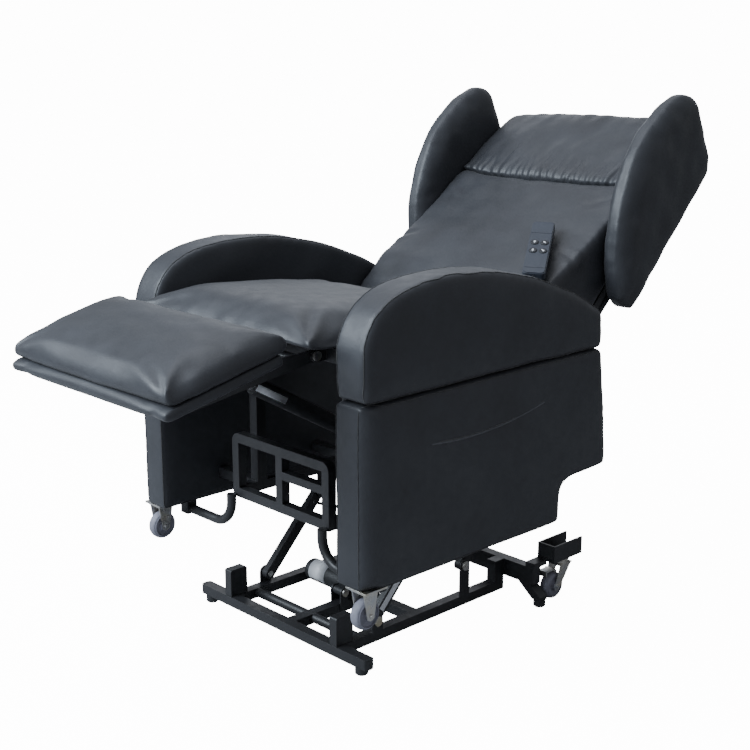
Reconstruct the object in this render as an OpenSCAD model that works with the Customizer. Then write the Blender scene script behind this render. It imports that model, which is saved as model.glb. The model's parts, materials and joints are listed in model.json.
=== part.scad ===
// Powered lift recliner chair on a low steel lifting base.
// Z is up, the chair faces -Y and the seated person's left is +X. Millimetres.
// Rest position: body raised on its links, backrest reclined, footrest out.

/* [Body] */
// Overall width over the two side panels
overall_w = 740; // [700:10:800]
// Thickness of a side panel and of the armrest above it
panel_t = 90; // [70:1:100]
// Length of a side panel at armrest height
panel_len = 702; // [680:1:720]
// Height of the joint between panel and armrest
panel_top_z = 603; // [600:1:606]
// Height of the underside of the side panels
panel_bottom_z = 237.5; // [236:0.5:240]
// Height of the highest point of the armrests
arm_top_z = 820; // [800:1:830]

/* [Seat] */
// Tilt of the seat towards the rear, in degrees
seat_tilt = 5; // [4:0.5:6]
// Depth of the seat cushion
seat_len = 543; // [520:1:545]
// Thickness of the seat cushion
seat_t = 54; // [53:1:58]

/* [Backrest] */
// Angle of the back panel from upright, in degrees
recline = 43.9; // [40:0.1:48]
// Height of the backrest above its hinge
back_h = 766; // [740:1:780]
// Thickness of each wing
wing_t = 64; // [50:1:70]

/* [Footrest] */
// Downward slope of the footrest towards its front edge, in degrees
foot_slope = 13; // [11:0.5:15]
// Width of the footrest pad
foot_w = 522; // [480:2:540]
// Length of the footrest pad
foot_len = 286; // [260:1:300]

/* [Lifting base] */
// Width of the front bar
base_w = 539; // [520:1:560]
// Length of a lift link between its two pivots
link_len = 225; // [220:1:230]
// Angle of the lift links above horizontal, in degrees
link_angle = 46.5; // [44:0.5:50]
// Distance between the front and the rear lift links
link_spacing = 270; // [260:1:280]

/* [Casters] */
// Wheel diameter
wheel_d = 63; // [60:1:65]
// Wheel width
wheel_w = 26; // [22:1:28]
// Distance between a swivel axis and its wheel axle
caster_trail = 30; // [24:1:32]

/* [Handset] */
// Length of the handset
handset_len = 190; // [180:1:194]
// Width of the handset
handset_w = 50; // [48:1:52]

/* [Hidden] */
$fn = 48;
curve_n = 12;              // points on each curved stretch of an outline
origin_y = 406.4;          // the model is shifted back by this, to centre it on the origin
fit_gap = 0.05;            // radial clearance of a pin in its bore
weld_gap = 0.02;           // space between solids that touch
joint_gap = 3;             // visible gap between armrest and panel
panel_out = overall_w / 2;
panel_in = panel_out - panel_t;
body_half = panel_in - 6;  // half width of everything between the side panels

// Seat: origin at the lower front edge of the cushion
seat_front_y = -58;
seat_front_z = 700;
seat_frame_start = 100;   // from the nose of the cushion to the frame's front rail
seat_frame_top = -6;
seat_post_y = [150, 430];
seat_post_len = 26;
seat_frame_tube = 28;
webbing_t = 2;

// Backrest: origin on its hinge axis, Z up the back, Y towards the rear
hinge_y = 604;
hinge_z = 560;
back_rear = 106;           // from the hinge axis to the rear surface
back_half = body_half - 2;
hinge_pin_r = 6;
cushion_low_front = -110;  // front of the cushion beside the hinge
cushion_bend_z = 162;      // where the cushion begins to lean back
head_seam_z = 484;
cushion_back = 66;         // rear face of the foam, in front of the frame

// Footrest: origin on its pivot axis, -Y towards its front edge
foot_pivot_y = 15;
foot_pivot_z = 672;
foot_start = 84;           // from the pivot axis to the pad
foot_board_z = 33;         // underside of the board above the pivot plane
foot_board_t = 22;
foot_pad_t = 45;
foot_arm_x = 205;
foot_arm_t = 6;
foot_pin_r = 6;
crank_len = 90;
crank_angle = 104.5;       // sets the crank square to the actuator at mid travel
foot_crank_angle = 90 + foot_slope + crank_angle;

// Lift linkage: lower pivots on the base, upper pivots on the chassis
lift_y = 203;
lift_z = 62;
rear_rise = 48;            // the rear pivots are this much higher
link_x = 166;
link_t = 16;
link_h = 26;
lift_pin_r = 7;
lug_t = 4;
up_y = lift_y + link_len * cos(link_angle);
up_z = lift_z + link_len * sin(link_angle);
lift_crank_r = 60;
lift_crank_angle = -60;

// Base
bar_front_y = 86;
bar_t = 25;
mid_bar_y = 318;
bar_bottom_z = 17;
bar_top_z = 39.5;
rail_x = 163;
rail_w = 25;
rail_top_z = bar_top_z;
post_x = 164;
post_w = 22;
post_y = 87.5;
post_len = 46;
post_top_z = 102;
foot_disc_r = 14;
foot_disc_h = bar_bottom_z;
rear_bar_y = 606;
rear_bar_bottom_z = 50;
rear_bar_top_z = 90;
rear_bar_half = 275;
rear_foot_x = 285;
bracket_bottom_z = 98;
bracket_h = 40;
bracket_front_y = 648;
bracket_rear_y = 748;
bracket_out = 301;
bracket_in = 252;
steel_t = 4;

// Lift actuator, on the base's middle rail
mid_x = 17;
mid_rail_half = 13;
motor_pivot_y = 250;
small_pin_r = 5;
motor_pivot_z = 64;
motor_r = 24;
tube_r = 17;
rod_r = 9;
crank_y = lift_y + link_spacing + lift_crank_r * cos(lift_crank_angle);
crank_z = lift_z + rear_rise + lift_crank_r * sin(lift_crank_angle);
lift_reach = norm([crank_y - motor_pivot_y, crank_z - motor_pivot_z]);
lift_act_angle = atan2(crank_z - motor_pivot_z, crank_y - motor_pivot_y);

// Recline actuator, from the chassis cross bar to the footrest crank
recline_x = -40;
recline_pivot_y = 430;
recline_pivot_z = 350;
foot_crank_y = foot_pivot_y + crank_len * cos(foot_crank_angle);
foot_crank_z = foot_pivot_z + crank_len * sin(foot_crank_angle);
recline_reach = norm([foot_crank_y - recline_pivot_y, foot_crank_z - recline_pivot_z]);
recline_act_angle = atan2(foot_crank_z - recline_pivot_z, foot_crank_y - recline_pivot_y);

// Chassis
frame_y = 106;
frame_tube_r = 10.5;
frame_top_z = 426 - frame_tube_r;
frame_low_z = 302 - frame_tube_r;
frame_half = 146;
chassis_rail_x = 138;
chassis_rail_w = 24;
chassis_rail_rear_y = 668;
outrigger_y = 84;
outrigger_z = 216;

// Casters
front_caster_x = 335;
front_caster_y = 27;
rear_caster_x = 277;
rear_caster_y = 700;
wheel_r = wheel_d / 2;
axle_r = 4;
fork_plate_t = 2.5;
fork_gap = wheel_w / 2 + 2;
front_axle_z = 151 + wheel_r;
rear_axle_z = 3 + wheel_r;

// Handset, lying on the lower back cushion
handset_t = 18;
handset_x = 200;
handset_up = 222;
handset_turn = -28;
handset_roll = 18;         // its outer edge lies lower, on the cushion's side
handset_lift = 11;         // between the cushion and the handset's underside
cushion_lean = 14.1;       // of the lower back cushion, from the back axis
button_r = 8.5;
button_proud = 1.8;
button_column = 11;
button_row = 15;
button_travel = 1.5;

leather = "#2b2d33";
black_steel = "#17181a";
black_plastic = "#1d1e20";
zinc = "#b9bcc0";
rubber_grey = "#77797f";
webbing_brown = "#4a4038";

// ---- Outlines, by formula ----

function bezier(p, n = curve_n) = [
    for (i = [0:n]) let (t = i / n, u = 1 - t)
        u*u*u*p[0] + 3*u*u*t*p[1] + 3*u*t*t*p[2] + t*t*t*p[3]
];

// Height of the underside of the seat frame at y
function seat_under(y) = seat_front_z - (y - seat_front_y) * tan(seat_tilt)
    + (seat_frame_top - seat_frame_tube) / cos(seat_tilt);

function arc(centre, r, from, to, n = curve_n) = [
    for (i = [0:n]) let (a = from + (to - from) * i / n) centre + r * [cos(a), sin(a)]
];

// ---- Placing ----

// Extrudes a (y, z) outline along X between x0 and x1
module across(x0, x1) {
    translate([x0, 0, 0]) rotate([90, 0, 90]) linear_extrude(x1 - x0) children();
}

module in_frame() { translate([0, -origin_y, 0]) children(); }

module mirrored() {
    children();
    mirror([1, 0, 0]) children();
}

module at_seat() {
    translate([0, seat_front_y, seat_front_z]) rotate([-seat_tilt, 0, 0]) children();
}

module at_back() {
    translate([0, hinge_y, hinge_z]) rotate([-recline, 0, 0]) children();
}

module at_footrest() {
    translate([0, foot_pivot_y, foot_pivot_z]) rotate([foot_slope, 0, 0]) children();
}

module at_lift_actuator() {
    translate([mid_x, motor_pivot_y, motor_pivot_z]) rotate([lift_act_angle, 0, 0]) children();
}

module at_recline_actuator() {
    translate([recline_x, recline_pivot_y, recline_pivot_z])
        rotate([recline_act_angle, 0, 0]) children();
}

module at_handset() {
    at_back() translate([handset_x, back_front(handset_up) - handset_lift, handset_up])
        rotate([-cushion_lean, 0, 0]) rotate([90, handset_turn, 0])
            rotate([0, handset_roll, 0]) children();
}

// ---- Stock shapes ----

module x_rod(x0, x1, r, y = 0, z = 0) {
    translate([x0, y, z]) rotate([0, 90, 0]) cylinder(h = x1 - x0, r = r);
}

module y_rod(y0, y1, r) {
    translate([0, y0, 0]) rotate([-90, 0, 0]) cylinder(h = y1 - y0, r = r);
}

module box(x0, x1, y0, y1, z0, z1) {
    translate([x0, y0, z0]) cube([x1 - x0, y1 - y0, z1 - z0]);
}

// A flat bar with round ends between (0, 0) and (len, 0) in (y, z)
module bar_outline(len, h) {
    translate([0, -h / 2]) square([len, h]);
    circle(r = h / 2);
    translate([len, 0]) circle(r = h / 2);
}

// ---- Base ----

module base_front_bar() {
    wall = 2;
    color(black_steel) difference() {
        box(-base_w / 2, base_w / 2, bar_front_y, bar_front_y + bar_t, bar_bottom_z, bar_top_z);
        box(-base_w / 2 - 1, base_w / 2 + 1, bar_front_y + wall, bar_front_y + bar_t - wall,
            bar_bottom_z + wall, bar_top_z - wall);
    }
}

module base_end_caps() {
    wall = 2.1;
    plug = 16;
    mid_y = bar_front_y + bar_t / 2;
    mid_z = (bar_bottom_z + bar_top_z) / 2;
    height = bar_top_z - bar_bottom_z;
    color(black_plastic) mirrored() {
        box(base_w / 2 - plug, base_w / 2 + weld_gap, bar_front_y + wall,
            bar_front_y + bar_t - wall, bar_bottom_z + wall, bar_top_z - wall);
        translate([base_w / 2 + weld_gap, 0, 0]) intersection() {
            box(0, 6, bar_front_y, bar_front_y + bar_t, bar_bottom_z, bar_top_z);
            translate([-14, mid_y, mid_z - height / 2]) cylinder(h = height, r = 20);
        }
    }
}

module base_posts() {
    cap = 5;
    color(black_steel) mirrored() {
        box(post_x, post_x + post_w, post_y, post_y + post_len, bar_top_z + weld_gap,
            post_top_z - cap);
        across(post_x, post_x + post_w) polygon(concat(
            [[post_y, post_top_z - cap - 0.01]],
            arc([post_y + cap, post_top_z - cap], cap, 180, 90, 6),
            arc([post_y + post_len - cap, post_top_z - cap], cap, 90, 0, 6),
            [[post_y + post_len, post_top_z - cap - 0.01]]
        ));
    }
}

// A pivot lug: a plate that rises from z0 to a round end about (y, z), with a bore for the pin
module lug(x0, y, z, z0, r = 15) {
    across(x0, x0 + lug_t) difference() {
        union() {
            translate([y - r, min(z0, z)]) square([2 * r, abs(z - z0)]);
            translate([y, z]) circle(r = r);
        }
        translate([y, z]) circle(r = lift_pin_r + fit_gap);
    }
}

module base_side_rails() {
    lug_x = rail_x + rail_w - lug_t;
    color(black_steel) mirrored() {
        box(rail_x, rail_x + rail_w, bar_front_y + bar_t + weld_gap, rear_bar_y - weld_gap,
            bar_bottom_z, rail_top_z);
        lug(lug_x, lift_y, lift_z, rail_top_z);
        lug(lug_x, lift_y + link_spacing, lift_z + rear_rise, rail_top_z);
        box(rail_x, rail_x + rail_w, rear_bar_y - 30, rear_bar_y - weld_gap, rail_top_z,
            rear_bar_top_z);
    }
}

module base_cross_members() {
    tube_r = 11;
    tube_y = 165;
    tube_z = 29;
    inner = rail_x - weld_gap;
    cut = mid_rail_half + weld_gap;
    color(black_steel) {
        difference() {
            x_rod(-inner, inner, tube_r, tube_y, tube_z);
            box(mid_x - cut, mid_x + cut, tube_y - 20, tube_y + 20, 0, 60);
        }
        box(-inner, inner, mid_bar_y, mid_bar_y + bar_t, bar_bottom_z, rail_top_z);
        box(-rear_bar_half, rear_bar_half, rear_bar_y, rear_bar_y + bar_t,
            rear_bar_bottom_z, rear_bar_top_z);
    }
}

module base_mid_rail() {
    ear_r = 12;
    ear_low_z = bar_bottom_z + 8;
    color(black_steel) {
        box(mid_x - mid_rail_half, mid_x + mid_rail_half, bar_front_y + bar_t + weld_gap,
            mid_bar_y - weld_gap, bar_bottom_z, rail_top_z);
        for (side = [-1, 1]) translate([mid_x + side * (mid_rail_half + 2), 0, 0])
            across(-2, 2) difference() {
                union() {
                    translate([motor_pivot_y - ear_r, ear_low_z])
                        square([2 * ear_r, motor_pivot_z - ear_low_z]);
                    translate([motor_pivot_y, motor_pivot_z]) circle(r = ear_r);
                }
                translate([motor_pivot_y, motor_pivot_z]) circle(r = small_pin_r + fit_gap);
            }
    }
}

// Rear leg: drops outwards from the rear bar to a foot
module base_rear_legs() {
    top_x = 232;
    top_w = 34;
    half = foot_disc_r - 2;
    top_z = rear_bar_bottom_z - weld_gap;
    color(black_steel) mirrored()
        translate([0, rear_bar_y, 0]) rotate([90, 0, 0]) mirror([0, 0, 1])
            linear_extrude(bar_t) polygon([
                [top_x, top_z], [top_x + top_w, top_z], [rear_foot_x + half, foot_disc_h + 8],
                [rear_foot_x + half, foot_disc_h], [rear_foot_x - half, foot_disc_h]
            ]);
}

module foot_disc() {
    chamfer = 3;
    rotate_extrude() polygon([
        [0, 0], [foot_disc_r - chamfer, 0], [foot_disc_r, chamfer],
        [foot_disc_r, foot_disc_h - weld_gap], [0, foot_disc_h - weld_gap]
    ]);
}

module base_feet() {
    front_x = base_w / 2 - 20;
    color(black_plastic) mirrored() {
        translate([front_x, bar_front_y + bar_t / 2, 0]) foot_disc();
        translate([rear_foot_x, rear_bar_y + bar_t / 2, 0]) foot_disc();
    }
}

// Channel over each rear caster, closed on top and open underneath
module rear_caster_brackets() {
    top_z = bracket_bottom_z + bracket_h;
    front_z = rear_bar_top_z + weld_gap;
    color(black_steel) mirrored() {
        box(bracket_in, bracket_out, bracket_front_y, bracket_rear_y,
            bracket_bottom_z, bracket_bottom_z + steel_t);
        box(bracket_out - steel_t, bracket_out, bracket_front_y, bracket_rear_y,
            bracket_bottom_z, top_z);
        box(bracket_in, bracket_in + steel_t, bracket_front_y, bracket_rear_y,
            bracket_bottom_z, top_z);
        box(bracket_in, bracket_out, bracket_front_y, bracket_front_y + steel_t,
            bracket_bottom_z, top_z);
        box(bracket_in, rear_bar_half + 3, rear_bar_y, bracket_front_y + 1, front_z,
            bracket_bottom_z + steel_t);
    }
}

// ---- Lift linkage ----

module pivot_pin(x0, x1, y, z, r = lift_pin_r) {
    head_t = 4;
    x_rod(x0, x1, r, y, z);
    x_rod(x1, x1 + head_t, r + 4, y, z);
}

module lower_pivot_pins() {
    color(zinc) {
        mirrored() for (row = [0, 1])
            pivot_pin(link_x - 1, rail_x + rail_w + weld_gap, lift_y + row * link_spacing,
                lift_z + row * rear_rise);
        pivot_pin(mid_x - mid_rail_half - 6, mid_x + mid_rail_half + 4 + weld_gap,
            motor_pivot_y, motor_pivot_z, small_pin_r);
    }
}

module upper_pivot_pins() {
    pin_in = chassis_rail_x + chassis_rail_w - lug_t - 1;
    color(zinc) {
        mirrored() for (row = [0, 1])
            pivot_pin(pin_in, link_x + link_t + weld_gap, up_y + row * link_spacing,
                up_z + row * rear_rise);
        pivot_pin(recline_x - 21, recline_x + 19 + weld_gap, recline_pivot_y, recline_pivot_z,
            small_pin_r);
    }
}

// One lift link, lying along +Y from its lower pivot
module lift_link() {
    across(link_x, link_x + link_t) difference() {
        bar_outline(link_len, link_h);
        circle(r = lift_pin_r + fit_gap);
        translate([link_len, 0]) circle(r = lift_pin_r + fit_gap);
    }
}

module lift_front_links() {
    color(black_steel) translate([0, lift_y, lift_z]) rotate([link_angle, 0, 0])
        mirrored() lift_link();
}

module lift_rear_links() {
    tube_at = 34;
    crank_t = 5;
    color(black_steel) translate([0, lift_y + link_spacing, lift_z + rear_rise]) {
        rotate([link_angle, 0, 0]) {
            mirrored() lift_link();
            x_rod(-link_x - 1, link_x + 1, 11.5, tube_at, 0);
        }
        for (side = [-1, 1]) translate([mid_x + side * 13, 0, 0])
            across(-crank_t / 2, crank_t / 2) difference() {
                union() {
                    rotate(lift_crank_angle) bar_outline(lift_crank_r, 24);
                    rotate(link_angle) translate([0, -9]) square([tube_at, 18]);
                }
                rotate(lift_crank_angle) translate([lift_crank_r, 0]) circle(r = 9);
            }
    }
}

module lift_motor() {
    gear_len = 44;
    color(black_plastic) at_lift_actuator() {
        difference() {
            union() {
                x_rod(-12.8, 12.8, 9.5, 0, 0);
                box(-12.8, 12.8, 0, 16, -9.5, 9.5);
                box(-20, 24, 15, 15 + gear_len, -19, 24);
            }
            x_rod(-20, 20, small_pin_r + fit_gap, 0, 0);
        }
        x_rod(-132, -20, motor_r, 37, 4);
        x_rod(-137, -132, motor_r - 3, 37, 4);
    }
}

module lift_actuator_tube() {
    start = 59 + weld_gap;
    color(black_steel) at_lift_actuator() difference() {
        y_rod(start, lift_reach - 60, tube_r);
        y_rod(start - 1, lift_reach - 59, rod_r + 0.5);
    }
}

module lift_actuator_rod() {
    color(zinc) at_lift_actuator() {
        y_rod(104, lift_reach - 8, rod_r);
        difference() {
            x_rod(-8, 8, 12, lift_reach, 0);
            x_rod(-9, 9, 5, lift_reach, 0);
        }
    }
}

// ---- Chassis ----

// Square tube frame across the front: a closed ring with a middle stay and a half-width bar
module chassis_front_frame() {
    r = frame_tube_r;
    bend = 20;
    bar_z = 365 - frame_low_z;
    bar_h = 18;
    height = frame_top_z - frame_low_z;
    out = frame_half + r;
    color(black_steel) translate([0, frame_y + r, frame_low_z]) rotate([90, 0, 0])
        linear_extrude(2 * r) {
            difference() {
                polygon(concat(
                    [[-out, -r], [out, -r]],
                    arc([out - bend, height + r - bend], bend, 0, 90, 6),
                    arc([bend - out, height + r - bend], bend, 90, 180, 6)
                ));
                translate([2 * r - out, r]) square([2 * (out - 2 * r), height - 2 * r]);
            }
            translate([-r, r - 1]) square([2 * r, height - 2 * r + 2]);
            translate([0, bar_z - bar_h / 2]) square([frame_half - r + 1, bar_h]);
        }
}

module chassis_rails() {
    x0 = chassis_rail_x;
    x1 = chassis_rail_x + chassis_rail_w;
    z0 = frame_low_z - 10.5;
    z1 = frame_low_z + 12;
    front_y = frame_y + frame_tube_r + weld_gap;
    lug_x = x1 - lug_t;
    color(black_steel) {
        mirrored() {
            box(x0, x1, front_y, chassis_rail_rear_y, z0, z1);
            for (row = [0, 1])
                lug(lug_x, up_y + row * link_spacing, up_z + row * rear_rise, z0 + 1);
            for (y = seat_post_y) {
                box(x0, x1, y, y + seat_post_len, z1, seat_under(y + seat_post_len) - weld_gap);
                box(x1, panel_in - weld_gap, y, y + seat_post_len, z0, z1);
            }
        }
        box(-x0, x0, seat_post_y[1], seat_post_y[1] + seat_post_len, z0, z1);
        for (side = [-1, 1]) translate([recline_x + side * 17, 0, 0]) across(-2, 2) difference() {
            union() {
                translate([recline_pivot_y - 12, z1 - 6])
                    square([40, recline_pivot_z - z1 + 6]);
                translate([recline_pivot_y, recline_pivot_z]) circle(r = 12);
            }
            translate([recline_pivot_y, recline_pivot_z]) circle(r = small_pin_r + fit_gap);
        }
        mirrored() hinge_bracket(x1);
    }
}

// Arm at the rear of a chassis rail, and the plate that rises from it to the backrest hinge
module hinge_bracket(rail_out) {
    front_y = chassis_rail_rear_y - 25;
    low_z = frame_low_z - 0.5;    // stays above the rear caster bracket when lowered
    top_z = low_z + 24;
    ear_r = 14;
    ear_low_z = hinge_z - 4;
    plate_x = body_half - 14;
    plate_t = 6;
    box(rail_out - 1, plate_x + plate_t, front_y, chassis_rail_rear_y, low_z, top_z);
    across(plate_x, plate_x + plate_t) difference() {
        union() {
            polygon([[front_y, top_z - 1], [chassis_rail_rear_y, top_z - 1],
                     [hinge_y + ear_r, ear_low_z], [hinge_y - ear_r, ear_low_z]]);
            translate([hinge_y, hinge_z]) circle(r = ear_r);
        }
        translate([hinge_y, hinge_z]) circle(r = hinge_pin_r + fit_gap);
    }
}

// Bent tube that carries each front caster and the front of its side panel
module caster_outriggers() {
    r = frame_tube_r;
    bend = 56;
    start_z = frame_low_z - 3;
    inner_x = frame_half + 3;
    color(black_steel) mirrored() translate([0, outrigger_y, 0]) {
        translate([inner_x, 0, outrigger_z + bend])
            cylinder(h = start_z - outrigger_z - bend, r = r);
        translate([inner_x + bend, 0, outrigger_z + bend]) rotate([90, 0, 0])
            rotate([0, 0, 180]) rotate_extrude(angle = 90) translate([bend, 0]) circle(r = r);
        x_rod(inner_x + bend, 318, r, 0, outrigger_z);
        box(296, 322, -13, 13, outrigger_z - 11, panel_bottom_z - weld_gap);
    }
}

module control_box() {
    color(black_plastic) difference() {
        box(66, chassis_rail_x - weld_gap, 300, 400, frame_low_z - 10, frame_low_z + 28);
        for (x = [80, 102, 124]) translate([x, 299, frame_low_z + 9]) rotate([-90, 0, 0])
            cylinder(h = 12, r = 7);
    }
}

// ---- Side panels and armrests ----

module panel_outline() {
    notch_y = 574;
    notch_z = 329;
    notch_r = 34;
    tail_y = 735;
    tail_z = 334;
    corner_r = 8;
    polygon(concat(
        [[0, panel_bottom_z], [0, panel_top_z - joint_gap / 2],
         [panel_len, panel_top_z - joint_gap / 2]],
        arc([tail_y - corner_r, tail_z + corner_r], corner_r, 0, -90, 4),
        arc([notch_y + notch_r, notch_z - notch_r], notch_r, 90, 180, 8),
        [[notch_y, panel_bottom_z]]
    ));
}

module dowel_places() {
    for (y = [130, 560]) translate([panel_in + panel_t / 2, y, 0]) children();
}

module side_panel() {
    color(leather) difference() {
        across(panel_in, panel_out) panel_outline();
        dowel_places() translate([0, 0, panel_top_z - 46]) cylinder(h = 60, r = 8 + fit_gap);
    }
}

module armrest_dowels() {
    color(zinc) mirrored() dowel_places() translate([0, 0, panel_top_z - 45])
        cylinder(h = 95, r = 8);
}

module arm_outline() {
    polygon(concat(
        [[2, panel_top_z + joint_gap / 2]],
        bezier([[-3, 680], [-3, arm_top_z - 30], [100, arm_top_z], [240, arm_top_z]]),
        bezier([[240, arm_top_z], [420, arm_top_z - 2], [600, 750], [707, 680]]),
        [[703, panel_top_z + joint_gap / 2]]
    ));
}

module armrest() {
    color(leather) difference() {
        across(panel_in, panel_out) arm_outline();
        dowel_places() translate([0, 0, panel_top_z]) cylinder(h = 52, r = 8 + fit_gap);
    }
}

// Shallow curved trims over the pocket openings, a little higher towards the rear
module pocket_trims() {
    sag = 15;
    half = 168;
    rise = 3.4;                // slope of the pocket mouth, in degrees
    mid_y = 338;
    low_z = 494;
    r = (half * half + sag * sag) / (2 * sag);
    spread = asin(half / r);
    color(leather) mirrored() across(panel_out + weld_gap, panel_out + 2.5)
        translate([mid_y, low_z]) rotate(rise) polygon(concat(
            arc([0, r], r + 4, 270 - spread, 270 + spread, 16),
            arc([0, r], r - 4, 270 + spread, 270 - spread, 16)
        ));
}

module pull_strap() {
    strap_w = 26;
    loop_r = 11;
    loop_y = 731.5;
    color("#1d2a4c") translate([panel_out - 30, loop_y, 456]) linear_extrude(strap_w)
        difference() {
            circle(r = loop_r);
            circle(r = loop_r - 2);
        }
}

// ---- Seat ----

module seat_frame() {
    front = seat_frame_start;
    rear = seat_len - 22;
    t = seat_frame_tube;
    top = seat_frame_top;
    low = top - t;
    half = body_half - 8;
    pivot_x = foot_arm_x + foot_arm_t + 1;
    color(black_steel) {
        at_seat() {
            difference() {
                box(-half, half, front, rear, low, top);
                box(-half + t, half - t, front + t, rear - t, low - 1, top + 1);
            }
            // cross bars over the chassis posts
            for (y = seat_post_y) box(-half + 1, half - 1, y - seat_front_y - 2,
                y - seat_front_y + t - 2, low, top - 6);
        }
        // brackets that hold the footrest pivot
        mirrored() across(pivot_x, pivot_x + 5) difference() {
            union() {
                translate([foot_pivot_y, foot_pivot_z]) circle(r = 12);
                translate([foot_pivot_y, foot_pivot_z - 12])
                    square([seat_front_y + front - foot_pivot_y + 3, 22]);
            }
            translate([foot_pivot_y, foot_pivot_z]) circle(r = foot_pin_r + fit_gap);
        }
    }
}

module seat_webbing() {
    strap = 50;
    pitch = 92;
    first = 130;
    color(webbing_brown) at_seat() {
        for (i = [-2:2]) box(i * pitch - strap / 2, i * pitch + strap / 2,
            seat_frame_start + 2, seat_len - 24,
            seat_frame_top + weld_gap, seat_frame_top + weld_gap + webbing_t);
        for (i = [0:3]) box(-body_half + 12, body_half - 12,
            first + i * pitch, first + i * pitch + strap, -3.5, -3.5 + webbing_t);
    }
}

// Seat foam: rounded nose, gently domed top, upright rear end
module seat_cushion() {
    nose = 26;
    t = seat_t;
    rear = seat_len;
    color(leather) at_seat() across(-body_half, body_half) polygon(concat(
        [[nose, 0]],
        arc([nose, nose], nose, 270, 180, 6),
        bezier([[0, nose], [4, t - 6], [50, t], [150, t]], 8),
        bezier([[150, t], [300, t], [450, t - 8], [rear - 12, t - 14]], 8),
        [[rear, t - 28], [rear, 0]]
    ));
}

// ---- Backrest ----

module back_hinge_pins() {
    x0 = body_half - 26;
    color(zinc) mirrored() {
        x_rod(x0, body_half - 7, hinge_pin_r, hinge_y, hinge_z);
        x_rod(body_half - 8 + weld_gap, body_half - 4, hinge_pin_r + 5, hinge_y, hinge_z);
    }
}

module back_frame() {
    y0 = cushion_back + 6;
    t = 22;
    x1 = body_half - 10;
    x0 = x1 - t;
    top = back_h - 60;
    ear_x = body_half - 22;
    ear_r = 14;
    color(black_steel) at_back() {
        mirrored() {
            box(x0, x1, y0, y0 + t, 20, top);
            across(ear_x, ear_x + 7) difference() {
                union() {
                    circle(r = ear_r);
                    polygon([[0, ear_r], [y0, 28], [y0 + t, 28], [y0 + t, 10], [4, 1 - ear_r]]);
                }
                circle(r = hinge_pin_r + fit_gap);
            }
        }
        for (z = [70, 380, top - t]) box(-x0, x0, y0, y0 + t, z, z + t);
        mirrored() for (z = [310, 590]) box(x1, panel_in - 2 - weld_gap, y0, y0 + t, z, z + t);
    }
}

module back_webbing() {
    strap = 50;
    y0 = cushion_back + 6 - weld_gap - webbing_t;
    x1 = body_half - 16;
    color(webbing_brown) at_back()
        for (i = [0:5]) box(-x1, x1, y0, y0 + webbing_t, 110 + i * 96, 110 + i * 96 + strap);
}

module back_rear_panel() {
    y0 = cushion_back + 6 + 22 + weld_gap;
    color(leather) at_back() across(-back_half, back_half) polygon([
        [y0, 44], [back_rear - 1, 44], [back_rear, 52], [back_rear, back_h - 60],
        [y0 + 2, back_h - 60], [y0, back_h - 66]
    ]);
}

// Outline of the cushion's front, from the hinge up to the head
function back_front(z) = let (up = max(0, z - cushion_bend_z))
    cushion_low_front + up * tan(cushion_lean) + 8 * sin(min(180, up / 3));

module back_cushion() {
    top = head_seam_z - 1;
    step = (top - cushion_bend_z) / curve_n;
    color(leather) at_back() across(-back_half, back_half) polygon(concat(
        [[cushion_back, 30], [10, 24]],
        arc([0, 0], -cushion_low_front, 200, 180, 5),
        [for (i = [0:curve_n]) let (z = cushion_bend_z + i * step) [back_front(z), z]],
        [[cushion_back, top]]
    ));
}

module head_cushion() {
    low = head_seam_z + 1;
    bend = back_h - 66;
    step = (bend - low) / curve_n;
    color(leather) at_back() across(-back_half, back_half) polygon(concat(
        [[cushion_back, low]],
        [for (i = [0:curve_n]) let (z = low + i * step) [back_front(z), z]],
        bezier([[back_front(bend), bend], [back_front(bend) + 14, back_h - 8],
                [60, back_h + 6], [back_rear - 12, back_h - 34]], 8),
        [[back_rear, back_h - 58 + weld_gap], [cushion_back, back_h - 59]]
    ));
}

// Wing outline in (y, z) of the backrest: straight rear edge, pointed top, broad front curve
module wing_outline() {
    low = 244;
    rear = back_rear + 6;
    front = rear - 252;
    front_z = low + 296;       // height of the foremost point
    polygon(concat(
        [[rear, low], [rear, low + 400], [rear - 33, low + 444]],
        bezier([[rear - 150, low + 486], [rear - 210, low + 500],
                [front, front_z + 110], [front, front_z]]),
        bezier([[front, front_z], [front, front_z - 110],
                [rear - 165, low + 40], [rear - 50, low - 12]])
    ));
}

module wing() {
    x0 = panel_in - 2;
    color(leather) at_back() across(x0, x0 + wing_t) wing_outline();
}

// ---- Footrest ----

module footrest_board() {
    half = foot_w / 2;
    y1 = -foot_start - 22;
    y0 = -foot_start - foot_len + 20;
    z0 = foot_board_z;
    nose = foot_board_t / 2;
    color(leather) at_footrest() across(-half + 2, half - 2) polygon(concat(
        [[y1, z0], [y1, z0 + foot_board_t]],
        arc([y0 + nose, z0 + nose], nose, 90, 270, 8)
    ));
}

module footrest_pad() {
    half = foot_w / 2;
    z0 = foot_board_z + foot_board_t + weld_gap;
    y1 = -foot_start;
    y0 = y1 - foot_len;
    t = foot_pad_t;
    color(leather) at_footrest() across(-half, half) polygon(concat(
        [[y1 - 20, z0]],
        bezier([[y1, z0 + 6], [y1 - 4, z0 + t - 10], [y1 - 50, z0 + t], [y1 - 120, z0 + t]], 8),
        bezier([[y1 - 120, z0 + t], [y0 + 90, z0 + t], [y0 + 2, z0 + t - 6],
                [y0, z0 + 14]], 8),
        [[y0 + 20, z0]]
    ));
}

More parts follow.
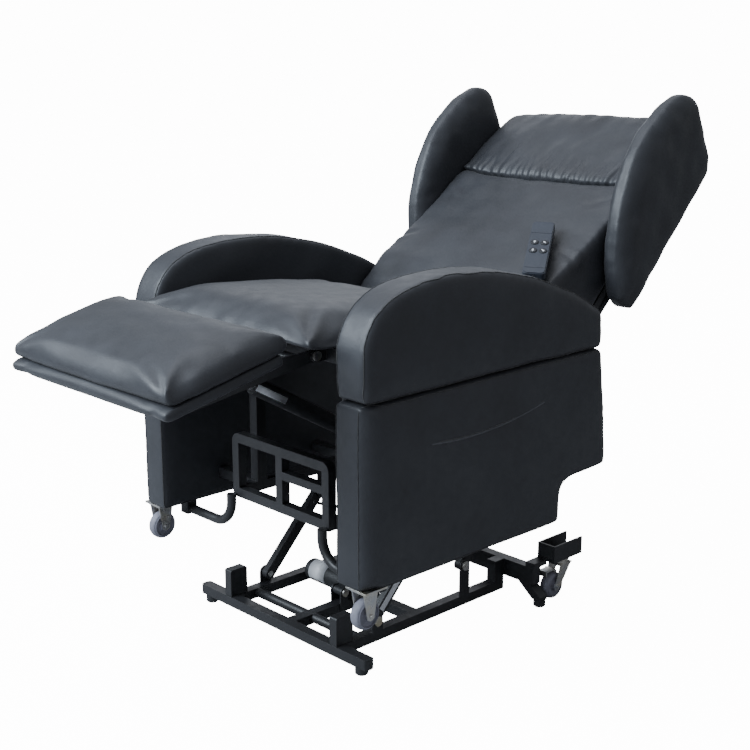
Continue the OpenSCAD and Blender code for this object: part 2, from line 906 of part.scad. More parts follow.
module footrest_arms() {
    arm_len = foot_start + foot_len - 70;
    beam_y = -150;
    color(black_steel) at_footrest() {
        mirrored() across(foot_arm_x, foot_arm_x + foot_arm_t) difference() {
            union() {
                circle(r = 13);
                polygon([[4, -12], [-arm_len, foot_board_z - 22], [-arm_len, foot_board_z - weld_gap],
                         [-foot_start - 24, foot_board_z - weld_gap], [-8, 11]]);
            }
            circle(r = foot_pin_r + fit_gap);
        }
        x_rod(-foot_arm_x, foot_arm_x, 9, -30, -2);
        for (side = [-1, 1]) translate([recline_x + side * 13, 0, 0])
            rotate([crank_angle + 90, 0, 0]) across(-2.5, 2.5) difference() {
                translate([12, 0]) bar_outline(crank_len - 12, 24);
                translate([crank_len, 0]) circle(r = 9);
            }
        box(-foot_arm_x, foot_arm_x, beam_y - 12, beam_y + 12, foot_board_z - 16,
            foot_board_z - weld_gap);
    }
}

module footrest_pins() {
    color(zinc) mirrored() {
        x_rod(foot_arm_x - 1, foot_arm_x + foot_arm_t + 6, foot_pin_r, foot_pivot_y, foot_pivot_z);
        x_rod(foot_arm_x + foot_arm_t + 6 + weld_gap, foot_arm_x + foot_arm_t + 10,
            foot_pin_r + 4, foot_pivot_y, foot_pivot_z);
    }
}

// ---- Recline drive ----

module recline_motor() {
    color(black_plastic) at_recline_actuator() {
        difference() {
            union() {
                x_rod(-12.8, 12.8, 11, 0, 0);
                box(-12.8, 12.8, 0, 22, -11, 11);
                box(-22, 22, 20, 76, -22, 24);
            }
            x_rod(-20, 20, small_pin_r + fit_gap, 0, 0);
        }
        translate([0, 48, -22]) rotate([180, 0, 0]) cylinder(h = 110, r = 26);
        difference() {
            y_rod(76, recline_reach - 150, 19);
            y_rod(110, recline_reach - 149, 10.5);
        }
    }
}

module recline_rod() {
    color(zinc) at_recline_actuator() {
        y_rod(226, recline_reach - 8, 10);
        difference() {
            x_rod(-8, 8, 13, recline_reach, 0);
            x_rod(-9, 9, 5, recline_reach, 0);
        }
    }
}

// ---- Casters ----

// Two fork plates from a top plate at z = top down to the axle at (y, 0)
module fork_plates(y, top) {
    for (side = [-1, 1]) translate([side * (fork_gap + fork_plate_t / 2), 0, 0])
        across(-fork_plate_t / 2, fork_plate_t / 2) union() {
            polygon([[-19, top], [19, top], [y + 9, -6], [y - 9, -6]]);
            translate([y, 0]) circle(r = 10);
        }
    box(-fork_gap - fork_plate_t, fork_gap + fork_plate_t, -21, 21, top - 3, top);
    x_rod(-fork_gap - fork_plate_t - 4, fork_gap + fork_plate_t + 4, axle_r, y, 0);
}

module front_caster_forks() {
    top = panel_bottom_z - front_axle_z - weld_gap;
    color(zinc) mirrored() translate([front_caster_x, front_caster_y, front_axle_z]) {
        fork_plates(0, top - 4);
        box(-28, 28, -24, 34, top - 4, top);
    }
}

// Wheel about its own axle, which lies along X
module wheel() {
    rim = wheel_r - 8;
    half = wheel_w / 2;
    rotate([0, 90, 0]) rotate_extrude($fn = 64) polygon(concat(
        [[axle_r + fit_gap, -half - 1.5], [11, -half - 1.5], [12, -half + 4], [rim, -half + 4],
         [rim + 1, -half]],
        [for (i = [0:8]) let (a = -90 + i * 22.5) [wheel_r - 5 + 5 * cos(a), (half - 2) * sin(a)]],
        [[rim + 1, half], [rim, half - 4], [12, half - 4], [11, half + 1.5],
         [axle_r + fit_gap, half + 1.5]]
    ));
}

module front_wheel(side) {
    color(rubber_grey) translate([side * front_caster_x, front_caster_y, front_axle_z]) wheel();
}

// Swivel fork: wheel trails towards the front of the chair
module rear_fork(side) {
    top = bracket_bottom_z - rear_axle_z - weld_gap;
    color(zinc) translate([side * rear_caster_x, rear_caster_y, rear_axle_z]) {
        fork_plates(-caster_trail, top - 14);
        translate([0, 0, top - 14]) cylinder(h = 10, r = 17);
        translate([0, 0, top - 4]) cylinder(h = 4, r = 21);
    }
}

module rear_wheel(side) {
    color(rubber_grey)
        translate([side * rear_caster_x, rear_caster_y - caster_trail, rear_axle_z]) wheel();
}

// Brake pedal on its own cross pin, in front of the fork
module brake_pedal(side) {
    pin_y = rear_caster_y - 34;
    pin_z = rear_axle_z + wheel_r + 7;
    tip = 26;
    color(zinc) translate([side * rear_caster_x, pin_y, pin_z]) {
        box(-11, 11, -tip, 4, 1, 4);
        translate([0, -tip, 0]) box(-11, 11, -3, 0, -9, 4);
        x_rod(-fork_gap + 0.1, fork_gap - 0.1, 3.5, 0, 0);
    }
}

// ---- Handset ----

// Handset lies in its own XY plane, long side along Y, buttons on +Z
module handset_outline(inset = 0) {
    r = 9;
    half = handset_w / 2 - inset;
    len = handset_len / 2 - inset;
    polygon(concat(
        arc([half - r, len - r], r, 0, 90, 6), arc([-half + r, len - r], r, 90, 180, 6),
        arc([-half + r, -len + r], r, 180, 270, 6), arc([half - r, -len + r], r, 270, 360, 6)
    ));
}

module button_place(column, row) {
    translate([column * button_column, row * button_row, 0]) children();
}

module handset_body() {
    seat_depth = 6;
    color(black_plastic) at_handset() difference() {
        union() {
            linear_extrude(handset_t - 2) handset_outline();
            linear_extrude(handset_t) handset_outline(2);
        }
        for (column = [-1, 1]) for (row = [-1, 1]) button_place(column, row)
            translate([0, 0, handset_t - seat_depth]) cylinder(h = seat_depth + 1, r = button_r + 0.4);
        for (y = [50, -76]) translate([-handset_w / 2 - 1, y, handset_t - 0.8])
            cube([handset_w + 2, 1.2, 2]);
    }
}

module handset_button(column, row) {
    low = handset_t - 6 + button_travel + 0.3;
    color(black_plastic) at_handset() button_place(column, row) {
        translate([0, 0, low]) cylinder(h = handset_t + button_proud - low - 0.8, r = button_r);
        translate([0, 0, handset_t + button_proud - 0.8])
            cylinder(h = 0.8, r1 = button_r, r2 = button_r - 0.8);
    }
}

// A rod from point a to point b, with a ball at each end a little thicker than the rod
module rod_between(a, b, r) {
    d = b - a;
    ball = 0.3;
    translate(a) {
        rotate([0, acos(d[2] / norm(d)), atan2(d[1], d[0])]) cylinder(h = norm(d), r = r);
        sphere(r = r + ball);
    }
    translate(b) sphere(r = r + ball);
}

// Cable from the handset's lower end into the gap beside the cushion, and down it
module handset_cable() {
    r = 2.2;
    gap_x = panel_in - r - 0.8;
    start_up = handset_up - handset_len / 2 * cos(handset_turn) * cos(cushion_lean);
    start_x = handset_x - handset_len / 2 * sin(handset_turn);
    start_y = cushion_low_front - handset_lift - 4;
    color(black_plastic) {
        at_handset() translate([0, -handset_len / 2 - weld_gap, handset_t / 2])
            rotate([90, 0, 0]) cylinder(h = 6, r = r);
        at_back() {
            rod_between([start_x + 10, start_y, start_up - 6], [gap_x, start_y, start_up - 10], r);
            rod_between([gap_x, start_y, start_up - 10], [gap_x, -10, 40], r);
        }
    }
}

in_frame() base_front_bar();
in_frame() base_end_caps();
in_frame() base_posts();
in_frame() base_side_rails();
in_frame() base_cross_members();
in_frame() base_mid_rail();
in_frame() base_rear_legs();
in_frame() base_feet();
in_frame() rear_caster_brackets();
in_frame() lower_pivot_pins();
in_frame() lift_front_links();
in_frame() lift_rear_links();
in_frame() upper_pivot_pins();
in_frame() lift_motor();
in_frame() lift_actuator_tube();
in_frame() lift_actuator_rod();
in_frame() chassis_front_frame();
in_frame() chassis_rails();
in_frame() caster_outriggers();
in_frame() control_box();
in_frame() side_panel();  // side_panel_left
in_frame() mirror([1, 0, 0]) side_panel();  // side_panel_right
in_frame() pocket_trims();
in_frame() pull_strap();
in_frame() armrest_dowels();
in_frame() armrest();  // armrest_left
in_frame() mirror([1, 0, 0]) armrest();  // armrest_right
in_frame() seat_frame();
in_frame() seat_webbing();
in_frame() seat_cushion();
in_frame() back_hinge_pins();
in_frame() back_frame();
in_frame() back_webbing();
in_frame() back_rear_panel();
in_frame() back_cushion();
in_frame() head_cushion();
in_frame() wing();  // wing_left
in_frame() mirror([1, 0, 0]) wing();  // wing_right
in_frame() footrest_board();
in_frame() footrest_pad();
in_frame() footrest_arms();
in_frame() footrest_pins();
in_frame() recline_motor();
in_frame() recline_rod();
in_frame() front_caster_forks();
in_frame() front_wheel(1);  // front_wheel_left
in_frame() front_wheel(-1);  // front_wheel_right
in_frame() rear_fork(1);  // rear_fork_left
in_frame() rear_fork(-1);  // rear_fork_right
in_frame() rear_wheel(1);  // rear_wheel_left
in_frame() rear_wheel(-1);  // rear_wheel_right
in_frame() brake_pedal(1);  // brake_pedal_left
in_frame() brake_pedal(-1);  // brake_pedal_right
in_frame() handset_body();
in_frame() handset_button(-1, 1);  // button_raise
in_frame() handset_button(-1, -1);  // button_lower
in_frame() handset_button(1, 1);  // button_recline
in_frame() handset_button(1, -1);  // button_upright
in_frame() handset_cable();
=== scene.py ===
"""Looks of the lift recliner chair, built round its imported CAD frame. Metres."""
import json
import math

import bmesh
import bpy
import numpy as np
from mathutils import Matrix, Vector
from mathutils.kdtree import KDTree


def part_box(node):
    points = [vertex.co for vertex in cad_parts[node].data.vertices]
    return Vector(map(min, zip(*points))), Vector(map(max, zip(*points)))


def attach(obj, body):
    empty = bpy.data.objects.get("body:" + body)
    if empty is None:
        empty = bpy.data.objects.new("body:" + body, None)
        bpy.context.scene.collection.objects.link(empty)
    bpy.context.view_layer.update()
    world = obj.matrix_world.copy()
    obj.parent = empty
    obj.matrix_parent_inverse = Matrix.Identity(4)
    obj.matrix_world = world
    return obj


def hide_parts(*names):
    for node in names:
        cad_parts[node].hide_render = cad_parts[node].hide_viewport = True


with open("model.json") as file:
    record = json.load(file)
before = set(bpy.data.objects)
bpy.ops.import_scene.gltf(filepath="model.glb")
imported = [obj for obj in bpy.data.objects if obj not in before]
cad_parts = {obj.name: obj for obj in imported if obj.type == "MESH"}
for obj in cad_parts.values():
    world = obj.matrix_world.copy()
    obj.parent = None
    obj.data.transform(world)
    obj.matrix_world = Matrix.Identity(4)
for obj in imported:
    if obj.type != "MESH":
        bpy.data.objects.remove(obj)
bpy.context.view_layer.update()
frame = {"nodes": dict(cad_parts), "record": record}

# ---- Drawing frames of the CAD part, as matrices into the row frame ----

ORIGIN_Y = 0.4064          # the drawing's zero is this far in front of the row's origin


def drawing_frame(y, z, tilt):
    """Frame whose origin is at (0, y, z) of the drawing, turned by tilt degrees about X."""
    return Matrix.Translation((0, y - ORIGIN_Y, z)) @ Matrix.Rotation(math.radians(tilt), 4, "X")


BODY = drawing_frame(0, 0, 0)
SEAT = drawing_frame(-0.058, 0.700, -5)
BACK = drawing_frame(0.604, 0.560, -43.9)
FOOT = drawing_frame(0.015, 0.672, 13)

PANEL_OUT = 0.370          # outer face of a side panel
SEAT_TOP = 0.054           # thickness of the seat cushion
SEAT_HALF = 0.278          # half width over which the seat's top rounds off
BACK_HALF = 0.272          # half width of the back and head cushions
FOAM_REAR = 0.066          # rear face of the back cushions
HEAD_SEAM = 0.487          # height of the seam under the head cushion
PAD_BASE = 0.055           # underside of the footrest pad
PAD_MIDDLE = -0.227        # middle of the footrest pad, front to back
PAD_HALF_X = 0.262
PAD_HALF_Y = 0.144
SIM_FRAMES = 20            # frames of cloth simulation per form
SEAM_REACH = 0.009         # points this close to a rim are held by the seam
SEAM_R = 0.0011            # radius of a seam cord
FLOOR_GLOW = 14.0          # brightness of floor and backdrop to the camera
LIFT_ANGLE = -1.34983      # of the lift actuator about X, in degrees
RECLINE_ANGLE = 150.45785  # of the recline actuator about X, in degrees
RNG = np.random.RandomState(7)


# ---- Materials ----

class Shader:
    """A node material built up call by call."""

    def __init__(self, name):
        self.material = bpy.data.materials.new(name)
        self.material.use_nodes = True
        self.nodes = self.material.node_tree.nodes
        self.links = self.material.node_tree.links
        self.main = self.nodes["Principled BSDF"]
        self.coords = self.nodes.new("ShaderNodeTexCoord").outputs["Object"]

    def set(self, **values):
        for key, value in values.items():
            self.main.inputs[key.replace("_", " ")].default_value = value
        return self

    def link(self, source, target):
        self.links.new(source, target)
        return target

    def noise(self, scale, detail=4.0, distortion=0.0):
        n = self.nodes.new("ShaderNodeTexNoise")
        n.inputs["Scale"].default_value = scale
        n.inputs["Detail"].default_value = detail
        n.inputs["Distortion"].default_value = distortion
        self.link(self.coords, n.inputs["Vector"])
        return n.outputs["Fac"]

    def cells(self, scale):
        n = self.nodes.new("ShaderNodeTexVoronoi")
        n.inputs["Scale"].default_value = scale
        self.link(self.coords, n.inputs["Vector"])
        return n.outputs["Distance"]

    def wave(self, scale, direction):
        n = self.nodes.new("ShaderNodeTexWave")
        n.bands_direction = direction
        n.inputs["Scale"].default_value = scale
        self.link(self.coords, n.inputs["Vector"])
        return n.outputs["Fac"]

    def ramp(self, source, stops):
        """Colour ramp; stops are (position, value or colour)."""
        n = self.nodes.new("ShaderNodeValToRGB")
        while len(n.color_ramp.elements) < len(stops):
            n.color_ramp.elements.new(0.5)
        for element, (place, value) in zip(n.color_ramp.elements, stops):
            colour = value if isinstance(value, tuple) else (value, value, value)
            element.position = place
            element.color = (*colour, 1)
        self.link(source, n.inputs["Fac"])
        return n.outputs["Color"]

    def maths(self, operation, a, b):
        n = self.nodes.new("ShaderNodeMath")
        n.operation = operation
        for socket, value in zip(n.inputs, (a, b)):
            if isinstance(value, (int, float)):
                socket.default_value = value
            else:
                self.link(value, socket)
        return n.outputs["Value"]

    def rounded(self, radius):
        n = self.nodes.new("ShaderNodeBevel")
        n.samples = 4
        n.inputs["Radius"].default_value = radius
        self.link(n.outputs["Normal"], self.main.inputs["Normal"])
        return self

    def bump(self, height, distance, strength=1.0):
        n = self.nodes.new("ShaderNodeBump")
        n.inputs["Strength"].default_value = strength
        n.inputs["Distance"].default_value = distance
        self.link(height, n.inputs["Height"])
        before = self.main.inputs["Normal"]
        if before.is_linked:
            self.link(before.links[0].from_socket, n.inputs["Normal"])
        self.link(n.outputs["Normal"], before)
        return self


def leather(name, dark, light, rough=0.46):
    """Smooth coated leather: fine grain, faint pulls and creases."""
    s = Shader(name)
    s.link(s.ramp(s.noise(9, 5), [(0.30, dark), (0.72, light)]), s.main.inputs["Base Color"])
    s.link(s.ramp(s.noise(38, 5), [(0.25, rough - 0.07), (0.75, rough + 0.09)]),
           s.main.inputs["Roughness"])
    s.bump(s.cells(620), 0.00022, 0.55)
    s.bump(s.noise(150, 3), 0.0004, 0.30)
    s.bump(s.noise(26, 6, 1.4), 0.0030, 0.13)
    s.set(IOR=1.5, Sheen_Weight=0.05, Sheen_Roughness=0.5)
    return s.material


def powder_coat(name, colour, rough=0.42):
    s = Shader(name)
    s.rounded(0.0012)
    s.link(s.ramp(s.noise(14, 4), [(0.3, tuple(c * 0.8 for c in colour)), (0.7, colour)]),
           s.main.inputs["Base Color"])
    s.link(s.ramp(s.noise(60, 4), [(0.3, rough - 0.08), (0.7, rough + 0.1)]),
           s.main.inputs["Roughness"])
    s.bump(s.noise(900, 2), 0.0002, 0.5)
    s.set(Coat_Weight=0.15, Coat_Roughness=0.3)
    return s.material


def moulded(name, colour, rough=0.5, grain=1500):
    s = Shader(name)
    s.rounded(0.0010)
    s.link(s.ramp(s.noise(20, 3), [(0.3, tuple(c * 0.85 for c in colour)), (0.7, colour)]),
           s.main.inputs["Base Color"])
    s.link(s.ramp(s.noise(80, 3), [(0.3, rough - 0.06), (0.7, rough + 0.08)]),
           s.main.inputs["Roughness"])
    s.bump(s.cells(grain), 0.0002, 0.4)
    return s.material


def zinc_plate(name):
    """Passivated zinc: silver with faint yellow and blue drifts and fine brushing."""
    s = Shader(name)
    s.rounded(0.0008)
    s.link(s.ramp(s.noise(22, 5, 0.6), [(0.25, (0.50, 0.52, 0.56)), (0.5, (0.62, 0.60, 0.55)),
                                        (0.75, (0.66, 0.58, 0.40))]), s.main.inputs["Base Color"])
    s.link(s.ramp(s.noise(120, 5), [(0.25, 0.22), (0.75, 0.45)]), s.main.inputs["Roughness"])
    s.bump(s.noise(700, 2), 0.0001, 0.5)
    s.set(Metallic=1.0)
    return s.material


def tread(name, colour):
    s = Shader(name)
    s.rounded(0.0010)
    s.link(s.ramp(s.noise(70, 5), [(0.25, tuple(c * 0.7 for c in colour)), (0.7, colour)]),
           s.main.inputs["Base Color"])
    s.bump(s.noise(500, 4), 0.0003, 0.6)
    s.set(Roughness=0.62)
    return s.material


def woven(name, colour, pitch=520):
    s = Shader(name)
    weave = s.maths("MULTIPLY", s.wave(pitch, "X"), s.wave(pitch, "Z"))
    s.link(s.ramp(weave, [(0.1, tuple(c * 0.5 for c in colour)), (0.7, colour)]),
           s.main.inputs["Base Color"])
    s.bump(weave, 0.0006, 0.8)
    s.set(Roughness=0.85, Sheen_Weight=0.3)
    return s.material


CHARCOAL = leather("charcoal_leather", (0.020, 0.021, 0.025), (0.030, 0.032, 0.038))
# The charcoal leather made lighter and glossier: a painted highlight on the pocket's welted lip.
HIGHLIT_WELT = leather("welt_leather_painted_highlight", (0.060, 0.063, 0.072), (0.085, 0.090, 0.102), 0.36)
THREAD = woven("seam_thread", (0.012, 0.012, 0.014), 2000)
STEEL = powder_coat("black_steel", (0.020, 0.020, 0.022))
PLASTIC = moulded("black_plastic", (0.022, 0.023, 0.025))
HANDSET = moulded("handset_plastic", (0.032, 0.038, 0.052), 0.42, 1800)
KEY = moulded("key_rubber", (0.016, 0.017, 0.021), 0.55)
ZINC = zinc_plate("zinc_plate")
TREAD = tread("grey_tread", (0.24, 0.24, 0.29))
WEBBING = woven("webbing_weave", (0.10, 0.085, 0.07))
STRAP = woven("strap_weave", (0.018, 0.030, 0.11), 900)
LINING = woven("lining_cloth", (0.030, 0.030, 0.032), 700)
MARK = moulded("mark_white", (0.80, 0.81, 0.83), 0.45)
LABEL = moulded("blank_label", (0.84, 0.85, 0.88), 0.38)

SLOT_LOOK = {
    "black_steel": STEEL, "black_plastic": PLASTIC, "zinc_plate": ZINC, "grey_tread": TREAD,
    "webbing": WEBBING, "strap_blue": STRAP, "charcoal_leather": CHARCOAL,
}


def dress_nodes():
    """Gives every CAD node the look of its material slot."""
    for part in frame["record"]["subparts"]:
        o = frame["nodes"][part["node"]]
        look = SLOT_LOOK[part["material_slot"]]
        if part["node"].startswith("button_"):
            look = KEY
        if part["node"] == "handset_body":
            look = HANDSET
        o.data.materials.clear()
        o.data.materials.append(look)


# ---- Meshes ----

def make_object(name, vertices, faces, material, smooth=True):
    mesh = bpy.data.meshes.new(name)
    mesh.from_pydata([tuple(v) for v in vertices], [], [tuple(f) for f in faces])
    mesh.update()
    if smooth:
        mesh.polygons.foreach_set("use_smooth", [True] * len(mesh.polygons))
    mesh.materials.append(material)
    o = bpy.data.objects.new(name, mesh)
    bpy.context.scene.collection.objects.link(o)
    return o


def outline_of(node, local):
    """Outer (y, z) outline of an extruded CAD node, in a local frame, and its two ends in x."""
    mesh = frame["nodes"][node].data
    inverse = local.inverted()
    co = [inverse @ v.co for v in mesh.vertices]
    x_low = min(c.x for c in co)
    x_high = max(c.x for c in co)
    key = lambda i: (round(co[i].y, 5), round(co[i].z, 5))
    count = {}
    for face in mesh.polygons:
        if all(co[i].x > x_high - 1e-5 for i in face.vertices):
            loop = [key(i) for i in face.vertices]
            for a, b in zip(loop, loop[1:] + loop[:1]):
                if (b, a) in count:
                    del count[(b, a)]
                else:
                    count[(a, b)] = True
    after = dict(count.keys())
    loops = []
    while after:
        start = next(iter(after))
        loop = [start]
        while loop[-1] in after:
            step = after.pop(loop[-1])
            if step == start:
                break
            loop.append(step)
        loops.append(loop)
    return max(loops, key=len), x_low, x_high


def dense(loop, step=0.004):
    """Points every step along a closed (y, z) outline."""
    points = []
    for a, b in zip(loop, loop[1:] + loop[:1]):
        a = np.array(a)
        b = np.array(b)
        n = max(1, int(np.linalg.norm(b - a) / step))
        points += [a + (b - a) * i / n for i in range(n)]
    return np.array(points)


def edge_array(mesh):
    edges = np.empty(len(mesh.edges) * 2, int)
    mesh.edges.foreach_get("vertices", edges)
    return edges.reshape(-1, 2)


def positions(mesh):
    co = np.empty(len(mesh.vertices) * 3)
    mesh.vertices.foreach_get("co", co)
    return co.reshape(-1, 3)


def normals(mesh):
    mesh.update()
    n = np.empty(len(mesh.vertices) * 3)
    mesh.vertices.foreach_get("normal", n)
    return n.reshape(-1, 3)


def smoothed(co, edges, times, amount=0.5):
    """Averages every point with its neighbours, a number of times."""
    a, b = edges[:, 0], edges[:, 1]
    size = len(co)
    degree = np.bincount(a, minlength=size) + np.bincount(b, minlength=size)
    for _ in range(times):
        total = np.stack([
            np.bincount(a, co[b, k], size) + np.bincount(b, co[a, k], size) for k in range(3)
        ], axis=1)
        co = co + amount * (total / degree[:, None] - co)
    return co


def voxel_prism(name, loop, x_low, x_high, voxel):
    """An extruded outline, remeshed to even small faces."""
    n = len(loop)
    vertices = [(x, y, z) for x in (x_low, x_high) for y, z in loop]
    faces = [tuple(range(n))[::-1], tuple(range(n, 2 * n))]
    faces += [(i, (i + 1) % n, n + (i + 1) % n, n + i) for i in range(n)]
    o = make_object(name, vertices, faces, CHARCOAL)
    bm = bmesh.new()
    bm.from_mesh(o.data)
    bmesh.ops.recalc_face_normals(bm, faces=bm.faces)
    bm.to_mesh(o.data)
    bm.free()
    remesh = o.modifiers.new("remesh", "REMESH")
    remesh.mode = "VOXEL"
    remesh.voxel_size = voxel
    apply_modifiers(o)
    return o


def apply_modifiers(o):
    graph = bpy.context.evaluated_depsgraph_get()
    mesh = bpy.data.meshes.new_from_object(o.evaluated_get(graph))
    old = o.data
    o.modifiers.clear()
    o.data = mesh
    bpy.data.meshes.remove(old)


def set_positions(o, co):
    o.data.vertices.foreach_set("co", co.ravel())
    o.data.update()


def inflate(o, pressure, cap, held):
    """Cloth under pressure: fills the form like foam under a cover, held along its seams."""
    start = positions(o.data)
    group = o.vertex_groups.new(name="seams")
    group.add([int(i) for i in np.nonzero(held)[0]], 1.0, "REPLACE")
    cloth = o.modifiers.new("cloth", "CLOTH")
    s = cloth.settings
    s.quality = 4
    s.use_pressure = True
    s.uniform_pressure_force = pressure
    s.effector_weights.gravity = 0
    s.vertex_group_mass = "seams"
    s.bending_stiffness = 0.6
    cloth.collision_settings.use_collision = False
    cloth.point_cache.frame_end = SIM_FRAMES
    for f in range(1, SIM_FRAMES + 1):
        bpy.context.scene.frame_set(f)
    graph = bpy.context.evaluated_depsgraph_get()
    moved = positions(o.evaluated_get(graph).data).copy()
    o.modifiers.clear()
    o.vertex_groups.clear()
    bpy.context.scene.frame_set(1)
    step = moved - start
    length = np.linalg.norm(step, axis=1, keepdims=True) + 1e-9
    return start + step / length * cap * np.tanh(length / cap)


def soft(name, node, local, body, pressure, cap, voxel=0.006, shape=None, detail=None,
         rounding=5, side_cut=0.0, sewn=None):
    """An upholstered form from an extruded CAD node: remeshed, inflated, rounded, detailed.
    The cover is held along its two side rims, or else where sewn says."""
    loop, x_low, x_high = outline_of(node, local)
    x_low, x_high = x_low + side_cut, x_high - side_cut
    o = voxel_prism(name, loop, x_low, x_high, voxel)
    rim = dense(loop)
    seams = np.concatenate([
        np.column_stack([np.full(len(rim), x), rim]) for x in (x_low, x_high)
    ])
    co = positions(o.data)
    held = held_near(seams, co, SEAM_REACH) if sewn is None else sewn(co)
    if shape is not None:
        co = shape(co)
        seams = shape(seams)
        set_positions(o, co)
    co = inflate(o, pressure, cap, held)
    co = smoothed(co, edge_array(o.data), rounding)
    set_positions(o, co)
    if detail is not None:
        set_positions(o, detail(co, normals(o.data)))
    paths = follow_surface(o, seams, len(rim))
    set_positions(o, apply_matrix(positions(o.data), local))
    o.data.polygons.foreach_set("use_smooth", [True] * len(o.data.polygons))
    o.data.materials.clear()
    o.data.materials.append(CHARCOAL)
    subdivide = o.modifiers.new("subdivide", "SUBSURF")
    subdivide.levels = subdivide.render_levels = 1
    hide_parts(node)
    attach(o, body)
    return o, [apply_matrix(p, local) for p in paths]


def tree_of(points):
    """Nearest-point search over an array of points."""
    tree = KDTree(len(points))
    for i, p in enumerate(points):
        tree.insert(p, i)
    tree.balance()
    return tree


def held_near(seams, co, reach):
    """Which points lie within reach of a seam."""
    tree = tree_of(seams)
    return np.array([tree.find(p)[2] < reach for p in co])


def apply_matrix(co, matrix):
    m = np.array(matrix)
    return co @ m[:3, :3].T + m[:3, 3]


def follow_surface(o, seams, count):
    """The seam paths, laid on the finished surface."""
    tree = tree_of(positions(o.data))
    found = np.array([tree.find(p)[0][:] for p in seams])
    return [found[:count], found[count:]]


def tube(name, path, radius, body, material=THREAD, closed=True):
    """A round cord along a path, its points spaced out and its kinks averaged away."""
    path = np.array(path)
    keep = [0]
    for i in range(1, len(path)):
        if np.linalg.norm(path[i] - path[keep[-1]]) > radius * 2.2:
            keep.append(i)
    path = path[keep]
    for _ in range(3):
        around = (np.roll(path, 1, 0) + np.roll(path, -1, 0)) / 2
        if not closed:
            around[0] = path[0]
            around[-1] = path[-1]
        path = (path + around) / 2
    curve = bpy.data.curves.new(name, "CURVE")
    curve.dimensions = "3D"
    spline = curve.splines.new("POLY")
    spline.points.add(len(path) - 1)
    for point, p in zip(spline.points, path):
        point.co = (*p, 1)
    spline.use_cyclic_u = closed
    curve.bevel_depth = radius
    curve.bevel_resolution = 3
    curve.use_fill_caps = not closed
    o = bpy.data.objects.new(name, curve)
    bpy.context.scene.collection.objects.link(o)
    o.data.materials.append(material)
    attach(o, body)
    return o


# ---- Surface detail, in each form's local frame ----

def drift(co, amount, shortest=0.05, longest=0.16, count=14, seed=3):
    """Slow random swell: a sum of plane waves."""
    rng = np.random.RandomState(seed)
    total = np.zeros(len(co))
    for _ in range(count):
        direction = rng.normal(size=3)
        direction /= np.linalg.norm(direction)
        wavelength = rng.uniform(shortest, longest)
        total += np.sin(co @ direction * 2 * math.pi / wavelength + rng.uniform(0, 6.28))
    return amount * total / math.sqrt(count)


def crease(co, a, b, depth, width):
    """Groove from a to b that fades towards b. Negative along the surface normal."""
    a = np.array(a, float)
    b = np.array(b, float)
    along = b - a
    t = np.clip((co - a) @ along / (along @ along), 0, 1)
    away = np.linalg.norm(co - (a + t[:, None] * along), axis=1)
    ridge = 0.45 * np.exp(-((away - 2.0 * width) / width) ** 2)
    return depth * (1 - t) * (ridge - np.exp(-(away / width) ** 2))


def raised(co, normal, height):
    return co + normal * height[:, None]


# ---- Upholstery ----

def shoulder(offset, half, power, floor):
    """1 in the middle, falling in a rounded shoulder to floor at half on either side."""
    reach = np.clip(np.abs(offset) / half, 0, 1)
    return floor + (1 - floor) * (1 - reach ** power) ** (1 / power)


def seat_shape(co):
    """Rounded shoulders along both sides of the top, full height in the middle."""
    out = co.copy()
    top = np.clip(co[:, 2] / SEAT_TOP, 0, None)
    round_side = shoulder(co[:, 0], SEAT_HALF, 5, 0.30)
    out[:, 2] = np.where(co[:, 2] > 0, SEAT_TOP * top * round_side - 0.010 * np.clip(top, 0, 1),
                         co[:, 2])
    return out


def below(level):
    """Picks the points lower than level."""
    return lambda co: co[:, 2] < level


def plan_rounded(co, middle, half_x, half_y, power):
    """Rounds the four plan corners: a rectangle about y = middle becomes a squarish oval."""
    out = co.copy()
    u = np.abs(co[:, 0]) / half_x
    v = np.abs(co[:, 1] - middle) / half_y
    k = np.maximum(u, v) / (u ** power + v ** power + 1e-12) ** (1 / power)
    out[:, 0] *= k
    out[:, 1] = middle + (co[:, 1] - middle) * k
    return out


def rolled_edge(co, rim, reach, keep, middle, share=1.0):
    """Draws x towards middle near the outline, so that a face rolls over at its edge."""
    out = co.copy()
    tree = tree_of(np.column_stack([np.zeros(len(rim)), rim]))
    away = np.array([tree.find((0, p[1], p[2]))[2] for p in co])
    edge = np.clip(1 - away / reach, 0, 1)
    drawn = (1 - keep) * (1 - np.sqrt(1 - edge ** 2)) * share
    out[:, 0] = middle + (co[:, 0] - middle) * (1 - drawn)
    return out


def seat_detail(co, n):
    h = drift(co, 0.0011)
    for side in (-1, 1):
        for reach, spread in ((0.10, 0.02), (0.13, 0.07), (0.09, 0.11), (0.16, 0.045)):
            h += crease(co, (side * 0.262, 0.018, 0.045),
                        (side * (0.262 - spread), 0.018 + reach, 0.060), 0.0018, 0.0090)
    for x in np.linspace(-0.2, 0.2, 6):
        h += crease(co, (x, 0.525, 0.035), (x * 0.9, 0.44, 0.05), 0.0026, 0.010)
    return raised(co, n, h)


def pad_shape(co):
    """A thick slab: its nose is full, its sides roll over and its plan corners are rounded."""
    out = plan_rounded(co, PAD_MIDDLE, PAD_HALF_X, PAD_HALF_Y, 16)
    rise = np.clip(co[:, 2] - PAD_BASE, 0, None)
    end = np.clip(np.abs(co[:, 1] - PAD_MIDDLE) / 0.143, 0, 1)
    side = shoulder(co[:, 0], 0.268, 6, 0.55)
    side += (1 - side) * end ** 3
    out[:, 2] = np.where(rise > 0, PAD_BASE + rise * side * (1 + 0.9 * end ** 8), co[:, 2])
    out[:, 0] *= 1.012
    out[:, 1] = PAD_MIDDLE + (out[:, 1] - PAD_MIDDLE) * 1.05
    return out


